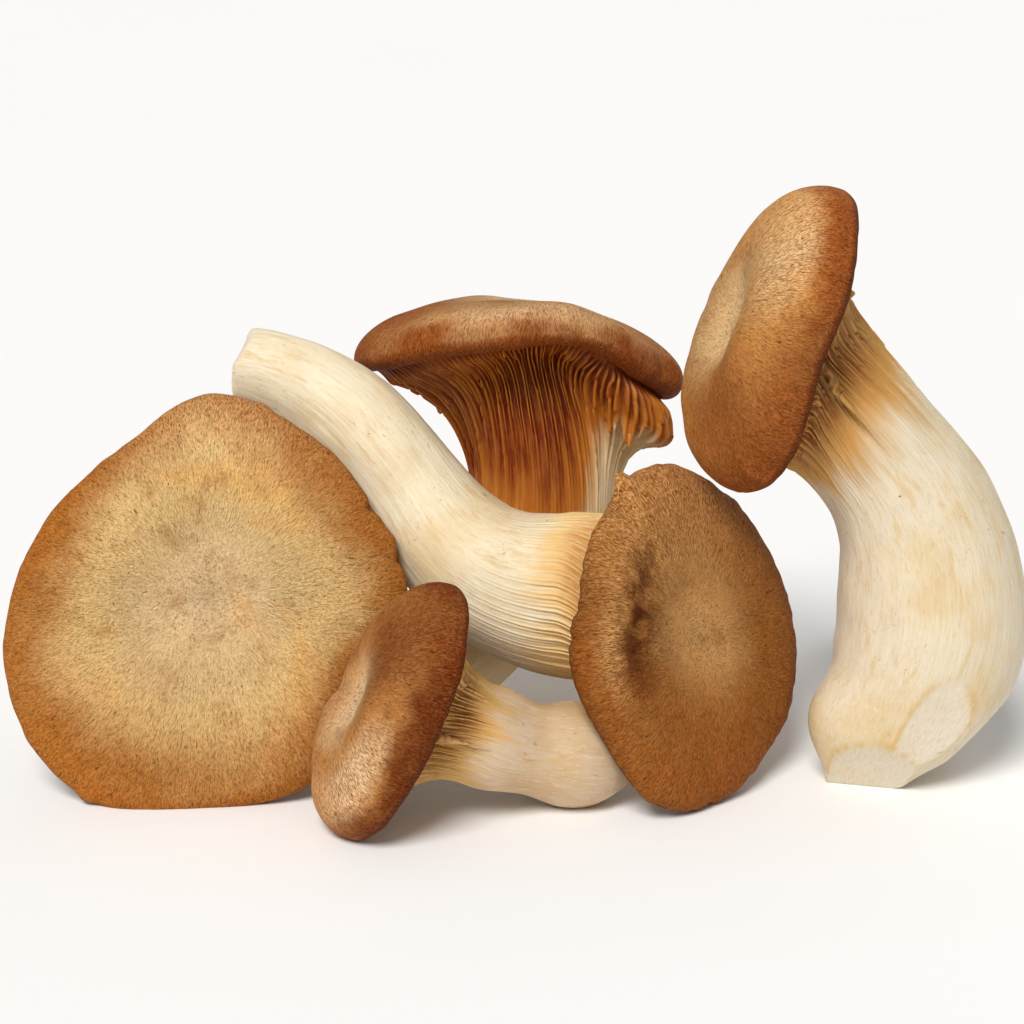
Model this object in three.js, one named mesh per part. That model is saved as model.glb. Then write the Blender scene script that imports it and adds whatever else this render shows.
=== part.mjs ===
// Five cut king oyster mushrooms heaped on a flat surface, in millimetres, +Z up.
// Each mushroom has two solids: its brown cap, and its cream stem with the gills that run down it.
// The surface they stand on is z = 0, and -Y is the side that shows the big cap's face.
import * as THREE from 'three';

// Driving dimensions
const CAP_GAP = 0.3; // between a cap's underside and the flesh that carries it
const CAP_SIDES = 40;
const STEM_SIDES = 22;
const SIDES_PER_STEM_SIDE = 4; // gill-bearing rings have this many corners for each corner of the stem
const GILL_SIDES = STEM_SIDES * SIDES_PER_STEM_SIDE;
const FLARE_PULL = 0.45; // how long the flare keeps the stem's direction, as a share of its own length
const FLARE_DROP = 1.5; // how far below its end the flare comes in, before it turns up to the cap's edge
const SHORT_GILL_SHARE = 0.45; // how far from the stem the short gills start, along the flare
const MARGIN_TURN = THREE.MathUtils.degToRad(125); // how far the cap's edge rolls under
const CROWN_ROWS = 6;
const MARGIN_ROWS = 3;
const STEM_ROWS = 12;
const FLARE_ROWS = 7;
const UPRIGHT_FOOT = 0.3; // share of a standing stem over which it turns away from the vertical
const HEAP_CENTRE = new THREE.Vector3(1.39, 27.76, 0); // middle of the footprint, which becomes the origin

const CREAM = new THREE.MeshStandardMaterial({ color: 0xf0e2c4, roughness: 0.62, metalness: 0 });
const BROWN = new THREE.MeshStandardMaterial({ color: 0xb07840, roughness: 0.7, metalness: 0 });

// spine: four Bezier points of the stem's axis, from the cut base to the neck, where it flares to the cap.
// radii: the stem's radius at even steps along it.
// middle: the middle of the cap's edge plane. facing: the way the cap's top looks.
// outline: the cap's radius at even steps round it, counter-clockwise as its top is seen, from its right.
// lift: how far the edge rises out of its plane, at even steps round it too.
// gills: how high the gills stand.
// lip: where the flare's end sags below the cap's edge. It has the middle and half-width of that stretch,
// in degrees round the cap, how much further the flare keeps the stem's direction there, as a share, and
// how far its bulge reaches out and down.
// toe: a bulge just above a cut base. It has its middle and half-width in degrees round the stem, its height
// above the surface, its half-depth, and how far it reaches out.
const NO_LIP = { angle: 0, spread: 1, rise: 0, reach: 0, drop: 0 };
const NO_TOE = { angle: 0, spread: 1, level: 0, depth: 1, reach: 0 };
const MUSHROOMS = [
  {
    name: 'large', standing: false,
    spine: [[-47, 84, 12], [-50.5, 68.5, 11], [-54, 54, 17.5], [-57.5, 36.5, 27]],
    radii: [8.5, 13, 14.5, 14, 13],
    middle: [-62.2, 11, 40.4], facing: [0.02, -0.94, 0.34], up: [0, 0, 1],
    outline: [41, 38.5, 38.5, 41.5, 35, 36.5, 41, 46.5, 48.5, 44, 43.5, 36.5],
    lift: [0, 0, 0, 0, 0, 0],
    crown: 9, dish: 5, dishWidth: 0.5, margin: 3, gills: 2,
    lip: NO_LIP, toe: NO_TOE,
  },
  {
    name: 'diagonal', standing: false,
    spine: [[-57.4, 45, 80], [-18, 35, 76], [-23.5, 25.5, 36.2], [12, 17.3, 38.3]],
    radii: [8.5, 11, 11.6, 14, 16.9],
    middle: [35.6, 8, 31.5], facing: [0.6, -0.69, 0.38], up: [0, 0, 1],
    outline: [30.2, 31.8, 35.5, 37, 30.4, 27, 29.5, 30, 35, 33.6, 30.6, 30.5],
    lift: [0, 0, 0, 0, 0, 0],
    crown: 8, dish: 3, dishWidth: 0.5, margin: 3, gills: 1.4,
    lip: NO_LIP, toe: NO_TOE,
  },
  {
    name: 'upright', standing: true,
    spine: [[-18, 43.5, 0], [-19.3, 45, 11], [5.4, 52.5, 25], [6.6, 55, 45]],
    radii: [8, 10, 12, 14, 15.8],
    middle: [1.7, 57, 80], facing: [0.1, 0.2, 0.97], up: [0, 1, 0],
    outline: [35.5, 32, 28, 27, 28, 32, 36, 32, 28, 26, 27, 30],
    lift: [-3.5, -3, 1, -4.8, 2.5, 6],
    crown: 11.4, dish: 0, dishWidth: 0.5, margin: 3, gills: 2.4,
    lip: { angle: -12, spread: 26, rise: 1.3, reach: 12, drop: 21 }, toe: NO_TOE,
  },
  {
    name: 'curved', standing: true,
    spine: [[74, 9, 0], [88, 13, 19], [95.5, 25, 44], [75.6, 24.5, 68]],
    radii: [8.5, 14.2, 18.6, 19.8, 18.9, 16.8, 15],
    middle: [54.3, 20, 92.3], facing: [-0.905, -0.206, 0.37], up: [0, 0, 1],
    outline: [21, 25, 30, 33, 28, 24, 21, 25, 29.5, 32, 30, 26],
    lift: [0, 0, 0, 0, 0, -2.4],
    crown: 15.5, dish: 6, dishWidth: 0.32, margin: 3, gills: 1.6,
    lip: NO_LIP, toe: { angle: 285, spread: 40, level: 10, depth: 6, reach: 4.5 },
  },
  {
    name: 'small', standing: false,
    spine: [[23, 2, 6.5], [17, -1, 10.4], [7, -3.8, 10.2], [-5.2, -7, 16.4]],
    radii: [5.8, 10, 10.8, 9.2, 10.4],
    middle: [-23, -12.8, 23.6], facing: [-0.838, -0.308, 0.45], up: [0, 0, 1],
    outline: [17.5, 20.5, 25, 28.5, 24, 17, 12.5, 17, 23.5, 26.5, 24, 19],
    lift: [0, 0, 0, 0, 0, 0],
    crown: 13, dish: 4.5, dishWidth: 0.32, margin: 2.5, gills: 1.4,
    lip: NO_LIP, toe: NO_TOE,
  },
];

const vector = (p) => new THREE.Vector3(...p);
const smoothstep = THREE.MathUtils.smoothstep;

// The middle stretch of a Catmull-Rom curve through four numbers.
function between(a, b, c, d, u) {
  const curve = (2 * a - 5 * b + 4 * c - d) * u * u + (3 * b - a - 3 * c + d) * u * u * u;
  return 0.5 * (2 * b + (c - a) * u + curve);
}

// A smooth closed curve through values spaced evenly round a circle.
function around(values, angle) {
  const n = values.length;
  const x = (angle / (2 * Math.PI)) * n;
  const i = Math.floor(x);
  const at = (k) => values[(k + n) % n];
  return between(at(i - 1), at(i), at(i + 1), at(i + 2), x - i);
}

// A smooth open curve through values spaced evenly from 0 to 1.
function along(values, share) {
  const last = values.length - 1;
  const x = Math.min(Math.max(share, 0), 1) * last;
  const i = Math.min(Math.floor(x), last - 1);
  const at = (k) => values[Math.min(Math.max(k, 0), last)];
  return between(at(i - 1), at(i), at(i + 1), at(i + 2), x - i);
}

// A bump of height 1 at the middle angle, for angles in radians and a middle and half-width in degrees.
function bump(angle, middle, spread) {
  const turn = THREE.MathUtils.euclideanModulo(THREE.MathUtils.radToDeg(angle) - middle + 180, 360) - 180;
  return Math.exp(-((turn / spread) ** 2));
}

// The cap's own axes: right and up in its edge plane, and out through its top.
function capAxes(mushroom) {
  const out = vector(mushroom.facing).normalize();
  const up = vector(mushroom.up);
  up.addScaledVector(out, -up.dot(out)).normalize();
  return { right: up.clone().cross(out), up, out };
}

// The way from the cap's middle towards its edge at an angle.
function outward(axes, angle) {
  return axes.right.clone().multiplyScalar(Math.cos(angle)).addScaledVector(axes.up, Math.sin(angle));
}

// The cap's skin. bend is 0 at the crown, a right angle at the edge and more on the rolled margin.
function capPoint(mushroom, axes, angle, bend) {
  const over = Math.min(bend, Math.PI / 2);
  const under = Math.max(bend - Math.PI / 2, 0);
  const share = Math.sin(over) ** 0.9;
  const radius = around(mushroom.outline, angle) * share - mushroom.margin * (1 - Math.cos(under));
  const dome = mushroom.crown * Math.max(Math.cos(over), 0) ** 0.9;
  const dish = mushroom.dish * Math.exp(-((share / mushroom.dishWidth) ** 2));
  const height = dome - dish - mushroom.margin * Math.sin(under) + around(mushroom.lift, angle) * share ** 2;
  return vector(mushroom.middle)
    .addScaledVector(outward(axes, angle), radius)
    .addScaledVector(axes.out, height);
}

// The middle of the surface where the cap sits on the flesh below it.
function seatMiddle(mushroom, axes) {
  return vector(mushroom.middle).addScaledVector(axes.out, (mushroom.crown - mushroom.dish) * 0.3);
}

const angles = (sides) => Array.from({ length: sides }, (_, k) => (k / sides) * 2 * Math.PI);

function capRings(mushroom, axes) {
  const rings = [];
  for (let i = 1; i <= CROWN_ROWS; i++) {
    const bend = (Math.PI / 2) * (i / CROWN_ROWS);
    rings.push(angles(CAP_SIDES).map((angle) => capPoint(mushroom, axes, angle, bend)));
  }
  for (let i = 1; i <= MARGIN_ROWS; i++) {
    const bend = Math.PI / 2 + MARGIN_TURN * (i / MARGIN_ROWS);
    rings.push(angles(CAP_SIDES).map((angle) => capPoint(mushroom, axes, angle, bend)));
  }
  return rings;
}

// Centres and cross axes of the stem's rings, carried from the cap down to the base without twist.
function stemFrames(mushroom, axes) {
  const curve = new THREE.CubicBezierCurve3(...mushroom.spine.map(vector));
  const frames = [];
  let right = axes.right.clone();
  for (let i = STEM_ROWS; i >= 0; i--) {
    const share = i / STEM_ROWS;
    const tangent = curve.getTangent(share);
    if (mushroom.standing) {
      tangent.lerp(new THREE.Vector3(0, 0, 1), 1 - smoothstep(share, 0, UPRIGHT_FOOT)).normalize();
    }
    right = right.clone().addScaledVector(tangent, -right.dot(tangent)).normalize();
    frames.unshift({
      centre: curve.getPoint(share),
      tangent,
      right,
      forward: tangent.clone().cross(right),
      radius: along(mushroom.radii, share),
    });
  }
  return frames;
}

function ringPoint(frame, angle) {
  return frame.centre.clone()
    .addScaledVector(frame.right, frame.radius * Math.cos(angle))
    .addScaledVector(frame.forward, frame.radius * Math.sin(angle));
}

// A ring of the stem's corners, with the bulge above its base.
function stemRing(mushroom, frame) {
  const toe = mushroom.toe;
  const level = Math.exp(-(((frame.centre.z - toe.level) / toe.depth) ** 2));
  return angles(STEM_SIDES).map((angle) => {
    const point = ringPoint(frame, angle);
    const out = point.clone().sub(frame.centre).normalize();
    return point.addScaledVector(out, toe.reach * level * bump(angle, toe.angle, toe.spread));
  });
}

// The smooth flare from the neck at share 0 to just inside the cap's rolled margin at share 1.
function flarePoint(mushroom, axes, neck, angle, share) {
  const start = ringPoint(neck, angle);
  const out = outward(axes, angle);
  const end = capPoint(mushroom, axes, angle, Math.PI / 2 + MARGIN_TURN).addScaledVector(out, -CAP_GAP);
  end.addScaledVector(axes.out, -CAP_GAP);
  const pull = start.distanceTo(end) * FLARE_PULL;
  const sag = bump(angle, mushroom.lip.angle, mushroom.lip.spread);
  const leaving = start.clone().addScaledVector(neck.tangent, pull * (1 + mushroom.lip.rise * sag));
  const arriving = end.clone()
    .addScaledVector(out, sag * mushroom.lip.reach - (1 - sag) * pull)
    .addScaledVector(axes.out, -FLARE_DROP - sag * mushroom.lip.drop);
  return new THREE.CubicBezierCurve3(start, leaving, arriving, end).getPoint(share);
}

// How far a gill stands out: every other corner is a ridge, and every other ridge is a short gill.
function gillHeight(mushroom, side, share) {
  if (side % 2) return 0;
  const start = side % 4 ? SHORT_GILL_SHARE : 0;
  return mushroom.gills * smoothstep(share, start, start + 0.3) * (1 - smoothstep(share, 0.7, 0.98));
}

function flareRing(mushroom, axes, neck, share) {
  const step = 0.01;
  return angles(GILL_SIDES).map((angle, side) => {
    const here = flarePoint(mushroom, axes, neck, angle, share);
    const round = flarePoint(mushroom, axes, neck, angle + step, share).sub(here);
    const on = flarePoint(mushroom, axes, neck, angle, share - step).sub(here);
    const normal = on.cross(round).normalize();
    return here.addScaledVector(normal, gillHeight(mushroom, side, share));
  });
}

// A closed mesh from rings of corners, with a point at each end.
// A ring may have several times as many corners as the ring before it.
class Skin {
  points = [];
  faces = [];

  add(ring) {
    const first = this.points.length;
    this.points.push(...ring);
    return ring.map((_, k) => first + k);
  }

  fan(tip, ring) {
    const [middle] = this.add([tip]);
    ring.forEach((corner, k) => this.faces.push(middle, corner, ring[(k + 1) % ring.length]));
  }

  strip(lower, upper) {
    const many = upper.length / lower.length;
    lower.forEach((corner, k) => {
      const next = lower[(k + 1) % lower.length];
      const half = Math.ceil(many / 2);
      for (let i = 0; i < many; i++) {
        const a = upper[(k * many + i) % upper.length];
        const b = upper[(k * many + i + 1) % upper.length];
        this.faces.push(i < half ? corner : next, b, a);
        if (i === half - 1) this.faces.push(corner, next, b);
      }
    });
  }

  geometry() {
    const positions = this.points.flatMap((p) => [p.x, p.y, Math.max(p.z, 0)]);
    const made = new THREE.BufferGeometry();
    made.setAttribute('position', new THREE.Float32BufferAttribute(positions, 3));
    made.setIndex(this.faces);
    made.computeVertexNormals();
    return made;
  }
}

function capGeometry(mushroom, axes) {
  const skin = new Skin();
  const rings = capRings(mushroom, axes).map((ring) => skin.add(ring));
  skin.fan(capPoint(mushroom, axes, 0, 0), rings[0]);
  for (let i = 1; i < rings.length; i++) skin.strip(rings[i], rings[i - 1]);
  skin.fan(seatMiddle(mushroom, axes), [...rings.at(-1)].reverse());
  return skin.geometry();
}

function stemGeometry(mushroom, axes) {
  const skin = new Skin();
  const frames = stemFrames(mushroom, axes);
  const neck = frames.at(-1);
  const stem = frames.map((frame) => skin.add(stemRing(mushroom, frame)));
  const flare = [];
  for (let i = 1; i <= FLARE_ROWS; i++) {
    flare.push(skin.add(flareRing(mushroom, axes, neck, i / FLARE_ROWS)));
  }
  const rings = [...stem, ...flare];
  skin.fan(frames[0].centre, [...rings[0]].reverse());
  for (let i = 1; i < rings.length; i++) skin.strip(rings[i - 1], rings[i]);
  skin.fan(seatMiddle(mushroom, axes).addScaledVector(axes.out, -CAP_GAP), rings.at(-1));
  return skin.geometry();
}

const heap = new THREE.Group();
for (const mushroom of MUSHROOMS) {
  const axes = capAxes(mushroom);
  const cap = new THREE.Mesh(capGeometry(mushroom, axes), BROWN);
  cap.name = `${mushroom.name}_cap`;
  const stem = new THREE.Mesh(stemGeometry(mushroom, axes), CREAM);
  stem.name = `${mushroom.name}_gilled_stem`;
  heap.add(cap, stem);
}
heap.position.copy(HEAP_CENTRE).negate();

export default heap;
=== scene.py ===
import math
from collections import namedtuple

import bpy
import numpy as np
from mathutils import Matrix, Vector


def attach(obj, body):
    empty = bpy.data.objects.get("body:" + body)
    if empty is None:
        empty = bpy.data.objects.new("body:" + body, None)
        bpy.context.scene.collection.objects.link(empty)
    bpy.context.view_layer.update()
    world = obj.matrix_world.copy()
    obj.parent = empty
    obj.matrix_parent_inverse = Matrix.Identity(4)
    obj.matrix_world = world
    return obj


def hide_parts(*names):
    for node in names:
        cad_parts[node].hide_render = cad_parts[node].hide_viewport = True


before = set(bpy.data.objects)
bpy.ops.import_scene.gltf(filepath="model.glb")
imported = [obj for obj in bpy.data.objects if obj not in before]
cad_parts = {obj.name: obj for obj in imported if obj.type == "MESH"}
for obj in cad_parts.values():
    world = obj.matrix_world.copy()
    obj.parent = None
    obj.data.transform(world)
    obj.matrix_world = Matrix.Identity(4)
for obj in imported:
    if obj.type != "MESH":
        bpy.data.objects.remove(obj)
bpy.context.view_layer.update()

MM = 0.001

# The heap's middle in the tables' own coordinates, which becomes the row frame's origin
HEAP_CENTRE = np.array([1.39, 27.76, 0.0])

# Camera
CAMERA_ELEVATION = math.radians(18)
CAMERA_DISTANCE = 568.9
CAMERA_TARGET = np.array([0.0, 0.0, 62.0]) - HEAP_CENTRE
CAMERA_LENS = 100
CAMERA_SENSOR = 36

# Caps
CAP_COLUMNS = 300
CROWN_ROWS = 68
MARGIN_ROWS = 22
CAP_FULLNESS = 0.9  # below 1, the crown bulges more than half an ellipse does
MARGIN_TURN = math.radians(125)
MARGIN_TUCK = 0.25
SEAT_SHARE = 0.3  # how far up inside its cap the flesh reaches, as a share of the cap's height
SEAT_GAP = 0.3

# Stems and gills
GILLS = 126
GILL_WIDTH = 2 * math.pi / GILLS
GILL_COLUMNS = (0.05, 0.5, 0.62, 0.93)  # places of a gill's four columns in its own width
GILL_OF_COLUMN = np.repeat(np.arange(GILLS), len(GILL_COLUMNS))
PLACE_IN_GILL = np.tile(GILL_COLUMNS, GILLS)
ON_RIDGE = np.tile([0.0, 0.0, 1.0, 1.0], GILLS)
STEM_ROWS = 62
STEM_CROWDING = 1.25  # above 1, the stem's rows stand closer near its cut base
FLARE_ROWS = 64
FLARE_SPAN = 32.0  # how many millimetres along a stem count as one flare, for gills that run down it
FLARE_PULL = 0.45
FLARE_DROP = 1.5
GILL_CLIMB = 0.55  # share of the flare in which a gill comes to its full height
GILL_LINE = 0.07  # height of the faint line that runs on down the stem below a gill
TEARS = 5  # most tears in one gill
TEAR_WIDTH = 0.012
TAG_WIDTH = 0.035
UPRIGHT_FOOT = 0.3  # share of a standing stem that turns upright towards its base
BASE_ROUNDING = 1.6
BASE_ROWS = 8
BASE_TEXTURE_RADIUS = 9
CUT_REACH = 45  # how far up a stem a knife cut can go
CUT_FADE = 0.3
LYING_BASE_HOLLOW = 0.6

# standing: whether the stem stands on its cut base, which is then level.
# spine: four Bezier points of the stem's axis, from the cut base to the neck, where it flares to the cap.
# radii: the stem's radius at even steps along it. middle and facing: the cap's edge plane and its top's direction.
# up: a direction that the cap's own up leans to. Angles round a cap are in degrees, counter-clockwise from its right.
# outline and lift: the edge's radius and rise at even steps round it.
# crown: how high the cap's top is over its edge. dish and dish_width: depth of the hollow in its middle, and its
# width as a share of the cap. margin: radius of the rolled edge.
# lip: the flare's sagging end: middle and half-width in degrees round the cap, rise, and reach out and down.
# toe: a bulge above the cut base: middle and half-width in degrees, height, half-depth and reach.
# gills: how high they stand. gill_start: where along the flare the long ones start. torn: how broken they are.
# amber: where along the flare the flesh turns to the gills' colour, from and to.
# ragged: how uneven the cap's edge is.
# edge: dents and tips of the cap's edge, each an angle and a half-width in degrees, and millimetres outward.
# roll: a raised band by the edge with a groove beside it: middle and half-width in degrees, rise and groove depth.
# rim_at: where between the cap's middle and its edge the rim's colour starts and is full.
# shades: darker sides of the cap, partly the skin's own tone and partly painted shade, or painted
# highlights if below 0: middle and half-width in degrees, strength, and where between the middle and the edge they
# start, are full and end.
# painted_lit_gills: a side with paler gills, painted light on their lit side: middle and half-width in degrees, and
# share of the flare.
# cuts: flat knife cuts, each the way it looks and how deep it goes.
# tags: torn tips that hang from the gills: angle and half-width in degrees, share of the flare, length.
MUSHROOMS = {
    "large": dict(
        standing=False,
        spine=[[-47, 84, 12], [-50.5, 68.5, 11], [-54, 54, 17.5], [-57.5, 36.5, 27]],
        radii=[8.5, 13, 14.5, 14, 13],
        middle=[-62.2, 11, 40.4], facing=[0.02, -0.94, 0.34], up=[0, 0, 1],
        outline=[41, 38.5, 38.5, 41.5, 35, 36.5, 41, 46.5, 48.5, 44, 43.5, 36.5],
        lift=[0, 0, 0, 0, 0, 0],
        crown=9, dish=5, dish_width=0.5, margin=3,
        gills=2.2, gill_start=-0.1, torn=0.6, amber=(-0.3, 0.5), ragged=0.12,
        rim_at=(0.62, 0.98),
        shades=[(262, 50, 0.75, 0.5, 0.82, 0.97), (186, 40, 0.5, 0.45, 0.9, 2), (240, 24, 0.2, 0.1, 0.4, 2),
                (90, 40, -0.35, 0.5, 0.9, 2)],
        edge=[(28, 2.2, -1.5), (10, 2.0, -0.9), (17, 2.5, 0.6), (74, 2.0, 0.5), (238, 2.0, 0.8), (305, 2.0, -0.6)],
        tags=[(100, 2.2, 0.8, 1.5), (250, 2.0, 0.75, 1.8)],
    ),
    "diagonal": dict(
        standing=False,
        spine=[[-57.4, 45, 80], [-18, 35, 76], [-23.5, 25.5, 36.2], [12, 17.3, 38.3]],
        radii=[8.5, 11, 11.6, 14, 16.9],
        middle=[35.6, 8, 31.5], facing=[0.6, -0.69, 0.38], up=[0, 0, 1],
        outline=[30.2, 31.8, 35.5, 37, 30.4, 27, 29.5, 30, 35, 33.6, 30.6, 30.5],
        lift=[0, 0, 0, 0, 0, 0],
        crown=8, dish=3, dish_width=0.5, margin=3,
        gills=0.9, gill_start=-0.2, torn=0.2, amber=(-0.45, 0.5), ragged=0.4,
        edge=[(100, 2.6, 3.0), (107, 4, -2.2), (150, 3, -0.6), (163, 2.5, 0.5), (208, 3, -0.6), (262, 2, -0.5),
              (282, 3, -0.7), (300, 3, 0.4)],
        roll=(155, 36, 2.6, 1.4), rim_at=(0.66, 1.0),
        shades=[(275, 60, 0.3, 0.3, 0.9, 2), (168, 28, -1.0, 0.7, 0.82, 0.97), (95, 50, -0.8, 0.2, 0.5, 2)],
        cuts=[((-0.8, -0.1, 0.6), 1.3)],
    ),
    "upright": dict(
        standing=True,
        spine=[[-18, 43.5, 0], [-19.3, 45, 11], [5.4, 52.5, 25], [6.6, 55, 45]],
        radii=[8, 10, 12, 14, 15.8],
        middle=[1.7, 57, 80], facing=[0.1, 0.2, 0.97], up=[0, 1, 0],
        outline=[35.5, 32, 28, 27, 28, 32, 36, 32, 28, 26, 27, 30],
        lift=[-3.5, -3, 1, -4.8, 2.5, 6],
        crown=11.4, dish=0, dish_width=0.5, margin=3,
        gills=2.0, gill_start=0.02, torn=0.5, amber=(-0.4, 0.4), ragged=0.2,
        rim_at=(0.9, 1.03), painted_lit_gills=(-12, 45, 0.65),
        shades=[(178, 42, 1.2, 0.3, 0.75, 2), (0, 34, 0.8, 0.5, 0.9, 2), (265, 36, -0.9, 0.72, 0.88, 1.02)],
        lip=(-12, 26, 1.3, 12, 21),
        edge=[(342, 2.5, -0.8), (350, 2, 0.5), (200, 2, -0.4), (60, 3, -0.8)],
        tags=[(334, 2.4, 0.6, 5.5), (328, 2.0, 0.52, 2.5), (352, 5.0, 0.8, 1.5), (186, 2.0, 0.6, 1.5)],
    ),
    "curved": dict(
        standing=True,
        spine=[[74, 9, 0], [88, 13, 19], [95.5, 25, 44], [75.6, 24.5, 68]],
        radii=[8.5, 14.2, 18.6, 19.8, 18.9, 16.8, 15],
        middle=[54.3, 20, 92.3], facing=[-0.905, -0.206, 0.37], up=[0, 0, 1],
        outline=[21, 25, 30, 33, 28, 24, 21, 25, 29.5, 32, 30, 26],
        lift=[0, 0, 0, 0, 0, -2.4],
        crown=15.5, dish=6, dish_width=0.32, margin=3,
        gills=1.9, gill_start=0.1, torn=0.9, amber=(-0.2, 0.8), ragged=0.15,
        rim_at=(0.85, 1.02),
        shades=[(305, 42, 0.95, 0.2, 0.6, 2), (0, 50, 0.5, 0.75, 0.97, 2), (54, 36, -1.0, 0.4, 0.65, 1.0),
                (190, 60, -0.7, 0.2, 0.6, 2)],
        toe=(280, 36, 9.5, 5.5, 5.0),
        edge=[(302, 2.5, 0.8), (40, 2.5, -0.6), (34, 2, 0.4)],
        cuts=[((0.14, -0.98, -0.12), 1.1), ((-0.2, -0.84, -0.5), 4.2), ((0.72, -0.25, -0.65), 2.2)],
        tags=[(60, 2.0, 0.5, 1.5), (75, 2.0, 0.7, 1.5)],
    ),
    "small": dict(
        standing=False,
        spine=[[23, 2, 6.5], [17, -1, 10.4], [7, -3.8, 10.2], [-5.2, -7, 16.4]],
        radii=[5.8, 10, 10.8, 9.2, 10.4],
        middle=[-23, -12.8, 23.6], facing=[-0.838, -0.308, 0.45], up=[0, 0, 1],
        outline=[17.5, 20.5, 25, 28.5, 24, 17, 12.5, 17, 23.5, 26.5, 24, 19],
        lift=[0, 0, 0, 0, 0, 0],
        crown=13, dish=4.5, dish_width=0.32, margin=2.5,
        gills=1.5, gill_start=0.1, torn=0.8, amber=(-0.15, 0.7), ragged=0.12,
        rim_at=(0.86, 1.02),
        shades=[(65, 50, 0.9, 0.1, 0.6, 2), (0, 40, 0.3, 0.85, 0.98, 2), (322, 46, -1.0, 0.5, 0.75, 1.0),
                (190, 55, -0.7, 0.2, 0.6, 2)],
        tags=[(285, 3.0, 0.6, 1.5), (300, 3.0, 0.7, 1.2)],
    ),
}


# Curves and noise

def between(a, b, c, d, u):
    """The middle stretch of a Catmull-Rom curve through four values."""
    curve = (2 * a - 5 * b + 4 * c - d) * u * u + (3 * b - a - 3 * c + d) * u**3
    return 0.5 * (2 * b + (c - a) * u + curve)


def around(values, angle):
    """A smooth closed curve through values spaced evenly round a circle."""
    values = np.asarray(values, float)
    x = np.asarray(angle) / (2 * math.pi) * len(values)
    i = np.floor(x).astype(int)
    a, b, c, d = (values[(i + k) % len(values)] for k in (-1, 0, 1, 2))
    return between(a, b, c, d, x - i)


def along(values, share):
    """A smooth open curve through values spaced evenly from 0 to 1."""
    values = np.asarray(values, float)
    last = len(values) - 1
    x = np.clip(share, 0, 1) * last
    i = np.minimum(np.floor(x).astype(int), last - 1)
    a, b, c, d = (values[np.clip(i + k, 0, last)] for k in (-1, 0, 1, 2))
    return between(a, b, c, d, x - i)


def smoothstep(x, low, high):
    t = np.clip((x - low) / (high - low), 0, 1)
    return t * t * (3 - 2 * t)


def bump(angle, middle, spread):
    """A bump of height 1 at the middle angle, for angles in radians and a middle and half-width in degrees."""
    turn = (np.degrees(angle) - middle + 180) % 360 - 180
    return np.exp(-((turn / spread) ** 2))


def unit(v):
    v = np.asarray(v, float)
    return v / np.maximum(np.linalg.norm(v, axis=-1, keepdims=True), 1e-12)


def bezier(a, b, c, d, t):
    return (1 - t) ** 3 * a + 3 * (1 - t) ** 2 * t * b + 3 * (1 - t) * t * t * c + t**3 * d


def noise(x, y, z, seed):
    """Smooth noise from -1 to 1 with features one unit apart."""
    size = 32
    lattice = np.random.default_rng(seed).uniform(-1, 1, (size, size, size))
    x, y, z = np.broadcast_arrays(x, y, z)
    cell = [np.floor(v).astype(int) for v in (x, y, z)]
    fade = [v - c for v, c in zip((x, y, z), cell)]
    fade = [f * f * (3 - 2 * f) for f in fade]
    total = 0.0
    for i in (0, 1):
        for j in (0, 1):
            for k in (0, 1):
                weight = (fade[0] if i else 1 - fade[0]) * (fade[1] if j else 1 - fade[1])
                weight = weight * (fade[2] if k else 1 - fade[2])
                total = total + weight * lattice[(cell[0] + i) % size, (cell[1] + j) % size, (cell[2] + k) % size]
    return total


def ring_noise(angle, across, round_scale, across_scale, seed):
    """Noise on a ring: seamless round it, with its own scale across it."""
    x = np.cos(angle) * round_scale + 7.3
    y = np.sin(angle) * round_scale + 11.9
    return noise(x, y, across * across_scale + 3.1, seed)


# The same surfaces as the CAD model's

def cap_axes(m):
    out = unit(m["facing"])
    up = np.asarray(m["up"], float)
    up = unit(up - up.dot(out) * out)
    return np.cross(up, out), up, out


def cap_middle(m):
    return np.asarray(m["middle"], float) - HEAP_CENTRE


def outward(axes, angle):
    return np.cos(angle)[..., None] * axes[0] + np.sin(angle)[..., None] * axes[1]


def cap_surface(m, axes, angle, bend):
    """The cap's skin. bend is 0 at the crown, a right angle at the edge and more on the rolled margin."""
    over = np.minimum(bend, math.pi / 2)
    under = np.maximum(bend - math.pi / 2, 0)
    share = np.sin(over) ** CAP_FULLNESS
    radius = around(m["outline"], angle) * share - m["margin"] * (1 - np.cos(under))
    dome = m["crown"] * np.maximum(np.cos(over), 0) ** CAP_FULLNESS
    dish = m["dish"] * np.exp(-((share / m["dish_width"]) ** 2))
    height = dome - dish - m["margin"] * np.sin(under) + around(m["lift"], angle) * share**2
    return cap_middle(m) + radius[..., None] * outward(axes, angle) + height[..., None] * axes[2]


Circle = namedtuple("Circle", "centre tangent right forward radius")


def stem_circles(m, axes, shares):
    """The stem's sections, with cross axes that are carried from the neck down to the base."""
    spine = [np.asarray(p, float) - HEAP_CENTRE for p in m["spine"]]
    right = axes[0]
    circles = []
    step = 1e-3
    for share in shares[::-1]:
        tangent = unit(bezier(*spine, share + step) - bezier(*spine, share - step))
        if m["standing"]:
            turn = 1 - smoothstep(share, 0, UPRIGHT_FOOT)
            tangent = unit(tangent * (1 - turn) + np.array([0, 0, 1]) * turn)
        right = unit(right - right.dot(tangent) * tangent)
        radius = float(along(m["radii"], share))
        circles.append(Circle(bezier(*spine, share), tangent, right, np.cross(tangent, right), radius))
    return circles[::-1]


def ring(circle, angle):
    aside = np.cos(angle)[..., None] * circle.right + np.sin(angle)[..., None] * circle.forward
    return circle.centre + circle.radius * aside


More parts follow.
